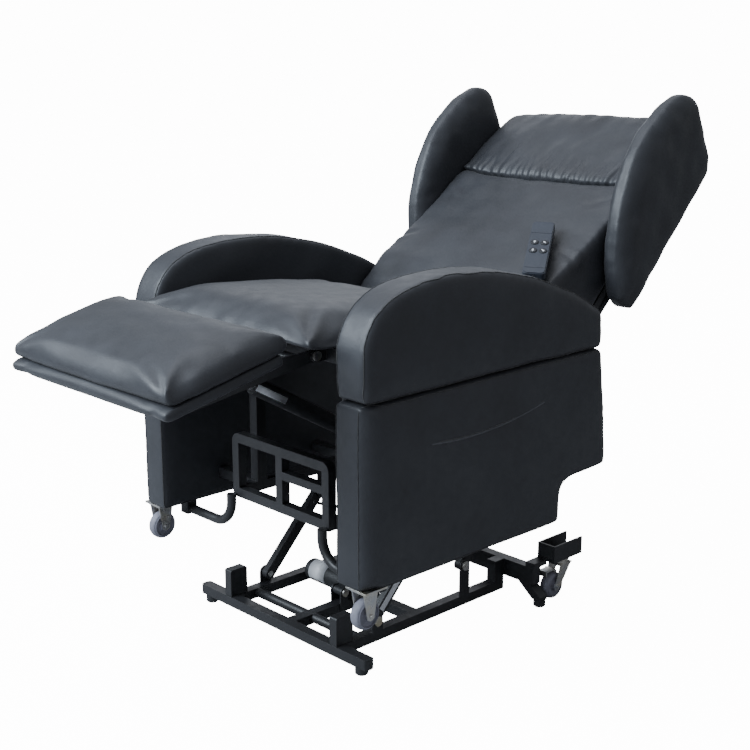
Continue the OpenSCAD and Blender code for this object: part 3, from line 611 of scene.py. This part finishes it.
def board_shape(co):
    """Plan corners as the pad's, with the front lip just beyond the pad."""
    out = plan_rounded(co, PAD_MIDDLE, PAD_HALF_X, PAD_HALF_Y, 16)
    out[:, 0] *= 1.010
    out[:, 1] -= 0.028 * np.clip((-0.20 - co[:, 1]) / 0.15, 0, 1)
    return out


def pad_detail(co, n):
    return raised(co, n, drift(co, 0.0009, seed=5))


def back_shape(co):
    out = co.copy()
    across = np.clip(np.abs(co[:, 0]) / BACK_HALF, 0, 1)
    front = np.clip((FOAM_REAR - co[:, 1]) / 0.13, 0, 1)
    out[:, 1] += front * (0.004 + 0.012 * across ** 3)
    return out


def back_detail(co, n):
    h = drift(co, 0.0013, seed=9)
    for side in (-1, 1):
        h += crease(co, (side * 0.262, -0.10, 0.06), (side * 0.10, -0.115, 0.10), 0.004, 0.010)
        h += crease(co, (side * 0.265, -0.07, 0.24), (side * 0.19, -0.085, 0.27), 0.003, 0.009)
        h += crease(co, (side * 0.262, -0.03, 0.46), (side * 0.17, -0.045, 0.40), 0.004, 0.009)
    return raised(co, n, h)


# x at the seam, reach up the cushion, depth and sideways lean of each gather
PLEATS = [(-0.245 + 0.49 * i / 25 + RNG.uniform(-0.006, 0.006), RNG.uniform(0.05, 0.13),
           RNG.uniform(0.0020, 0.0044), RNG.uniform(-0.022, 0.022)) for i in range(26)]


def head_detail(co, n):
    """Gathers that rise from the seam and fade out up the head cushion."""
    h = drift(co, 0.0012, seed=11)
    flat = co * np.array([1, 0, 1])
    front = np.clip(-2 * n[:, 1], 0, 1)
    for x, reach, depth, lean in PLEATS:
        start = (x, 0, HEAD_SEAM)
        end = (x + lean, 0, HEAD_SEAM + reach)
        h += front * crease(flat, start, end, depth, 0.0056)
    for side in (-1, 1):
        h += front * crease(flat, (side * 0.262, 0, 0.494), (side * 0.20, 0, 0.50), 0.005, 0.008)
    return raised(co, n, h)


def head_shape(co):
    out = back_shape(co)
    across = np.clip(np.abs(co[:, 0]) / BACK_HALF, 0, 1)
    low = np.clip((0.56 - co[:, 2]) / 0.075, 0, 1)
    out[:, 2] += low * 0.020 * across ** 2.5
    top = np.clip((co[:, 2] - 0.66) / 0.10, 0, 1)
    out[:, 2] -= top * 0.020 * across ** 3
    front = np.clip((FOAM_REAR - co[:, 1]) / 0.10, 0, 1)
    out[:, 1] -= front * 0.010 * np.sin(math.pi * np.clip((co[:, 2] - 0.50) / 0.26, 0, 1))
    return out


def seam_rise(co):
    """The lower cushion's top follows the curved seam under the head cushion."""
    out = back_shape(co)
    across = np.clip(np.abs(co[:, 0]) / BACK_HALF, 0, 1)
    high = np.clip((co[:, 2] - 0.40) / 0.083, 0, 1)
    out[:, 2] += high * 0.020 * across ** 2.5
    return out


def wing_shape(co):
    """Edges fully rolled along the front and top, flatter down the straight rear edge."""
    loop, x_low, x_high = outline_of("wing_left", BACK)
    rear = max(y for y, z in loop)
    share = np.clip((rear - co[:, 1]) / 0.050, 0.35, 1)
    return rolled_edge(co, dense(loop), 0.034, 0.25, (x_low + x_high) / 2, share)


def wing_detail(co, n):
    return raised(co, n, drift(co, 0.0010, seed=13))


def arm_shape(co):
    """Both faces roll over towards the top band."""
    loop, x_low, x_high = outline_of("armrest_left", BODY)
    return rolled_edge(co, dense(loop), 0.020, 0.80, (x_low + x_high) / 2)


def arm_detail(co, n):
    h = drift(co, 0.0010, seed=17)
    for y, lean in ((0.02, 0.02), (0.035, 0.03), (0.06, 0.05)):
        h += crease(co, (0.36, y, 0.76 + lean), (0.30, y + 0.02, 0.78 + lean), 0.002, 0.008)
    return raised(co, n, h)


def panel_shape(co):
    """The outer face rolls over towards the front edge."""
    loop, x_low, x_high = outline_of("side_panel_left", BODY)
    front = min(y for y, z in loop)
    share = np.clip(1 - (co[:, 1] - front - 0.02) / 0.03, 0, 1)
    return rolled_edge(co, dense(loop), 0.030, 0.76, x_low, share)


def panel_detail(co, n):
    return raised(co, n, drift(co, 0.0009, 0.10, 0.30, seed=19))


def mirrored_copy(o, name, node, body):
    """The same form on the other side of the chair."""
    co = positions(o.data)
    co[:, 0] *= -1
    mesh = o.data.copy()
    twin = bpy.data.objects.new(name, mesh)
    bpy.context.scene.collection.objects.link(twin)
    mesh.vertices.foreach_set("co", co.ravel())
    mesh.flip_normals()
    mesh.update()
    subdivide = twin.modifiers.new("subdivide", "SUBSURF")
    subdivide.levels = subdivide.render_levels = 1
    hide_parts(node)
    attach(twin, body)
    return twin


def flipped(path):
    return np.array(path) * np.array([-1, 1, 1])


def upholster_cushions():
    soft("seat_pad", "seat_cushion", SEAT, "chassis", 4.0, 0.026, shape=seat_shape,
         detail=seat_detail, rounding=12, sewn=below(0.008))
    soft("back_pad", "back_cushion", BACK, "back", 4.0, 0.024, 0.0065, shape=seam_rise,
         detail=back_detail, rounding=6)
    soft("head_pad", "head_cushion", BACK, "back", 4.0, 0.027, 0.005, shape=head_shape,
         detail=head_detail, rounding=6)
    soft("foot_pad", "footrest_pad", FOOT, "footrest", 4.0, 0.024, 0.005, shape=pad_shape,
         detail=pad_detail, rounding=12, sewn=below(PAD_BASE + 0.010))
    soft("foot_board", "footrest_board", FOOT, "footrest", 2.0, 0.004, 0.005, rounding=3,
         shape=board_shape)
    soft("rear_cover", "back_rear_panel", BACK, "back", 2.0, 0.007, 0.006, rounding=3,
         detail=lambda co, n: raised(co, n, drift(co, 0.0008, 0.08, 0.25, seed=23)))


def upholster_sides():
    arm, arm_rims = soft("arm_left", "armrest_left", BODY, "armrest_l", 4.0, 0.009, 0.006,
                         shape=arm_shape, detail=arm_detail, rounding=5)
    mirrored_copy(arm, "arm_right", "armrest_right", "armrest_r")
    panel, panel_rims = soft("panel_left", "side_panel_left", BODY, "chassis", 3.0, 0.005, 0.007,
                             shape=panel_shape, detail=panel_detail, rounding=3, side_cut=0.002)
    mirrored_copy(panel, "panel_right", "side_panel_right", "chassis")
    wing, _ = soft("wing_pad_left", "wing_left", BACK, "back", 4.0, 0.009, 0.006,
                   shape=wing_shape, detail=wing_detail, rounding=4, side_cut=0.003,
                   sewn=lambda co: co[:, 1] > 0.100)
    mirrored_copy(wing, "wing_pad_right", "wing_right", "back")
    for label, rims, bodies in (("arm", arm_rims, ("armrest_l", "armrest_r")),
                                ("panel", panel_rims, ("chassis", "chassis"))):
        for place, rim in zip(("inner", "outer"), rims):
            tube(f"{label}_seam_{place}_left", rim, SEAM_R, bodies[0])
            tube(f"{label}_seam_{place}_right", flipped(rim), SEAM_R, bodies[1])


# ---- Small pieces ----

def pocket_slits():
    """A shallow curved pocket mouth on each side panel: a welted lip, its leather made lighter as
    a painted highlight, and a dark slit above it.
    """
    middle = (0.338 - ORIGIN_Y, 0.494)
    half = 0.168
    sag = 0.015
    rise = math.radians(3.4)
    radius = (half ** 2 + sag ** 2) / (2 * sag)
    spread = math.asin(half / radius)
    for side in (-1, 1):
        word = "left" if side > 0 else "right"
        for lip, gap, x, thick in (("lip", 0.0, PANEL_OUT + 0.0006, 0.0021),
                                   ("slit", -0.0030, PANEL_OUT + 0.0004, 0.0015)):
            path = []
            for angle in np.linspace(-spread, spread, 60):
                y = (radius + gap) * math.sin(angle)
                z = radius - (radius + gap) * math.cos(angle)
                path.append((side * x, middle[0] + y * math.cos(rise) - z * math.sin(rise),
                             middle[1] + y * math.sin(rise) + z * math.cos(rise)))
            # The lip gets the lightened welt leather, a painted highlight; the slit gets lining
            # cloth.
            look = HIGHLIT_WELT if lip == "lip" else LINING
            tube(f"pocket_{lip}_{word}", path, thick, "chassis", look, False)
    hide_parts("pocket_trims")


def strap_loop():
    """Flat pull strap: a soft loop of woven band behind the near panel."""
    low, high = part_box("pull_strap")
    x = (low.x + high.x) / 2
    y = low.y - 0.002
    top = high.z + 0.006
    width = 0.011
    drop = 0.066
    bulge = 0.021
    outline = []
    for i in range(41):
        t = i / 40
        outline.append((y + bulge * math.sin(math.pi * t) ** 0.8, top - drop * t))
    vertices = [(x + s * width, yy, zz) for yy, zz in outline for s in (-1, 1)]
    faces = [(2 * i, 2 * i + 1, 2 * i + 3, 2 * i + 2) for i in range(40)]
    o = make_object("pull_strap_band", vertices, faces, STRAP)
    thick = o.modifiers.new("thick", "SOLIDIFY")
    thick.thickness = 0.0018
    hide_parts("pull_strap")
    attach(o, "chassis")


# The handset's own frame, its keys facing +Z and its top end towards +Y
HANDSET_FRAME = (BACK @ Matrix.Rotation(math.radians(-14.1), 4, "X")
                 @ Matrix.Rotation(math.radians(-28), 4, "Y")
                 @ Matrix.Rotation(math.radians(90), 4, "X")
                 @ Matrix.Rotation(math.radians(18), 4, "Y"))
KEY_NORMAL = (HANDSET_FRAME.to_3x3() @ Vector((0, 0, 1))).normalized()
KEY_UP = (HANDSET_FRAME.to_3x3() @ Vector((0, 1, 0))).normalized()


def key_arrows():
    """A plain white arrow on each of the four keys."""
    turns = {"raise": 0, "lower": 180, "recline": 45, "upright": 225}
    millimetre = 0.001
    outline = [(0, 4.5), (-3.5, 0.5), (-1.3, 0.5), (-1.3, -4), (1.3, -4), (1.3, 0.5), (3.5, 0.5)]
    thickness = 0.0004
    for word, turn in turns.items():
        mesh = frame["nodes"]["button_" + word].data
        faces = [f for f in mesh.polygons if f.normal.dot(KEY_NORMAL) > 0.99]
        centre = sum((f.center * f.area for f in faces), Vector()) / sum(f.area for f in faces)
        across = KEY_UP.cross(KEY_NORMAL)
        angle = math.radians(turn)
        points = []
        for level in (0.0, thickness):
            for px, py in outline:
                qx = (px * math.cos(angle) - py * math.sin(angle)) * millimetre
                qy = (px * math.sin(angle) + py * math.cos(angle)) * millimetre
                points.append(centre + across * qx + KEY_UP * qy + KEY_NORMAL * level)
        n = len(outline)
        faces = [tuple(range(n)), tuple(range(n, 2 * n))[::-1]]
        faces += [(i, n + i, n + (i + 1) % n, (i + 1) % n) for i in range(n)]
        o = make_object("arrow_" + word, points, faces, MARK, False)
        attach(o, "key_" + word)


def label_band(name, frame_of, half, radius, start, end, body):
    """A blank label wrapped part way round a tube that lies along the local X axis."""
    steps = 16
    vertices = []
    for i in range(steps + 1):
        a = math.radians(start + (end - start) * i / steps)
        for s in (-1, 1):
            vertices.append(frame_of @ Vector((s * half, radius * math.cos(a),
                                               radius * math.sin(a))))
    faces = [(2 * i, 2 * i + 1, 2 * i + 3, 2 * i + 2) for i in range(steps)]
    o = make_object(name, vertices, faces, LABEL)
    thick = o.modifiers.new("thick", "SOLIDIFY")
    thick.thickness = 0.0004
    thick.offset = 1
    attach(o, body)
    return o


def labels():
    """Blank labels: one round each motor's tube and one on the near front link."""
    tilt = math.radians(LIFT_ANGLE)
    y = 0.250 - ORIGIN_Y + 0.037 * math.cos(tilt) - 0.004 * math.sin(tilt)
    z = 0.064 + 0.037 * math.sin(tilt) + 0.004 * math.cos(tilt)
    label_band("lift_motor_label", Matrix.Translation((-0.078, y, z)), 0.026, 0.0243, 60, 215,
               "lift_actuator")
    along = Matrix.Rotation(math.radians(RECLINE_ANGLE), 4, "X")
    tube_frame = drawing_frame(0.430, 0.350, 0) @ Matrix.Translation((-0.040, 0, 0)) @ along
    turned = Matrix.Rotation(math.radians(90), 4, "Z")
    label_band("recline_label", tube_frame @ Matrix.Translation((0, 0.378, 0)) @ turned, 0.045,
               0.0192, 150, 196, "recline_actuator")
    link = (drawing_frame(0.203, 0.062, 46.5)
            @ Matrix.Translation((0.1822, 0.066, 0.001)))
    corners = [(x, y, z) for x in (0, 0.0005) for y, z in ((-0.042, -0.007), (0.042, -0.007),
                                                         (0.042, 0.007), (-0.042, 0.007))]
    sides = [(i, (i + 1) % 4, 4 + (i + 1) % 4, 4 + i) for i in range(4)]
    o = make_object("link_label", [link @ Vector(c) for c in corners],
                    [(3, 2, 1, 0), (4, 5, 6, 7)] + sides, LABEL, False)
    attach(o, "lift_front")


def cables():
    """Cables from the control box to the motors and the front frame."""
    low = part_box("control_box")[0]
    y = low.y
    z = low.z + 0.019
    ends = ((0.080, (0.02, 0.25, 0.36)), (0.102, (0.06, 0.12, 0.31)), (0.124, (0.11, 0.10, 0.33)))
    for i, (x, end) in enumerate(ends):
        start = Vector((x, y + 0.006, z))
        out = Vector((x, y - 0.05, z - 0.03 - 0.01 * i))
        stop = Vector((end[0], end[1] - ORIGIN_Y + 0.02, end[2]))
        path = []
        for k in range(25):
            t = k / 24
            path.append(tuple((1 - t) ** 2 * start + 2 * t * (1 - t) * out + t * t * stop))
        tube(f"control_cable_{i}", path, 0.0032, "chassis", PLASTIC, False)


# ---- Stage ----

def area_light(name, place, target, size, power, colour):
    data = bpy.data.lights.new(name, "AREA")
    data.shape = "RECTANGLE"
    data.size, data.size_y = size
    data.energy = power
    data.color = colour
    o = bpy.data.objects.new(name, data)
    bpy.context.scene.collection.objects.link(o)
    o.location = place
    o.rotation_euler = (Vector(target) - Vector(place)).to_track_quat("-Z", "Y").to_euler()
    return o


def floor_material():
    """Pale floor: mostly even white to the camera, with a faint shadow."""
    s = Shader("floor_paint")
    s.link(s.ramp(s.noise(2, 3), [(0.3, (0.30, 0.30, 0.31)), (0.7, (0.33, 0.33, 0.34))]),
           s.main.inputs["Base Color"])
    s.set(Roughness=0.9, Emission_Color=(1, 1, 1, 1))
    ray = s.nodes.new("ShaderNodeLightPath").outputs["Is Camera Ray"]
    s.link(s.maths("MULTIPLY", ray, FLOOR_GLOW), s.main.inputs["Emission Strength"])
    return s.material


def studio():
    mesh = bpy.data.meshes.new("floor")
    reach = 12
    mesh.from_pydata([(-reach, -reach, 0), (reach, -reach, 0), (reach, reach, 0),
                      (-reach, reach, 0)], [], [(0, 1, 2, 3)])
    floor = bpy.data.objects.new("floor", mesh)
    bpy.context.scene.collection.objects.link(floor)
    mesh.materials.append(floor_material())
    world = bpy.data.worlds.new("studio")
    bpy.context.scene.world = world
    world.use_nodes = True
    nodes = world.node_tree.nodes
    links = world.node_tree.links
    base = nodes["Background"]
    base.inputs["Color"].default_value = (0.88, 0.93, 1.0, 1)
    base.inputs["Strength"].default_value = 0.36
    seen = nodes.new("ShaderNodeBackground")
    seen.inputs["Color"].default_value = (1, 1, 1, 1)
    seen.inputs["Strength"].default_value = FLOOR_GLOW
    path = nodes.new("ShaderNodeLightPath")
    mix = nodes.new("ShaderNodeMixShader")
    links.new(path.outputs["Is Camera Ray"], mix.inputs["Fac"])
    links.new(base.outputs["Background"], mix.inputs[1])
    links.new(seen.outputs["Background"], mix.inputs[2])
    links.new(mix.outputs["Shader"], nodes["World Output"].inputs["Surface"])
    area_light("front_sky", (-1.3, -3.3, 2.9), (0, 0, 0.5), (3.4, 2.6), 370, (0.80, 0.90, 1.0))
    area_light("rear_sky", (-2.6, 3.2, 2.8), (0, 0.1, 0.7), (3.6, 2.6), 27, (0.90, 0.93, 1.0))
    area_light("overhead", (-0.4, -0.2, 3.6), (0, 0, 0.6), (2.4, 2.4), 45, (0.88, 0.92, 1.0))


def camera():
    data = bpy.data.cameras.new("camera")
    data.sensor_width = 36
    data.lens = 63.84
    azimuth = 46.26
    elevation = 14.24
    o = bpy.data.objects.new("camera", data)
    bpy.context.scene.collection.objects.link(o)
    o.location = (2.0520, -1.5890 - ORIGIN_Y, 1.2526)
    o.rotation_euler = (math.radians(90 - elevation), 0, math.radians(azimuth))
    bpy.context.scene.camera = o


dress_nodes()
upholster_cushions()
upholster_sides()
pocket_slits()
strap_loop()
key_arrows()
labels()
cables()
studio()
camera()
